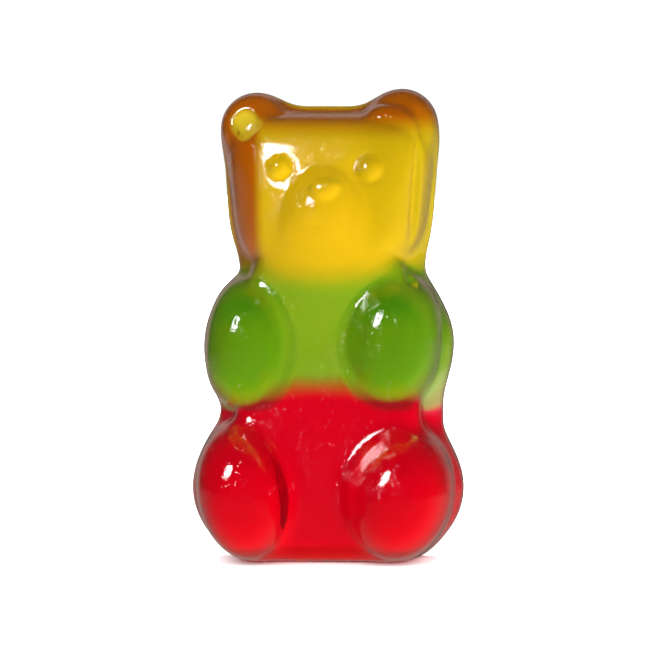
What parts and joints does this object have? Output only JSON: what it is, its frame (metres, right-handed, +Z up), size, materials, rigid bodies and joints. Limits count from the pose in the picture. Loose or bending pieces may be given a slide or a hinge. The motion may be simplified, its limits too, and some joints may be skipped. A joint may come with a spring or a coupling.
{
  "type": "gummy bear",
  "caption": "Small moulded fruit jelly sweet in the shape of a sitting bear, yellow above, green in the middle and red below, with a flat back.",
  "frame": {"origin": "centre of the bear's box at the bottom, on the surface that it stands on", "axes": "+Z up through the head, -Y the way the bear faces, so that the flat back is at +Y, and +X to the right of someone looking at its face"},
  "size_m": [0.0128, 0.0093, 0.022],
  "materials": {
    "jelly_yellow": "gloss",
    "jelly_green": "gloss",
    "jelly_red": "gloss"
  },
  "bodies": {
    "root": {"head_yellow": "jelly_yellow", "chest_green": "jelly_green", "seat_red": "jelly_red"}
  },
  "joints": []
}
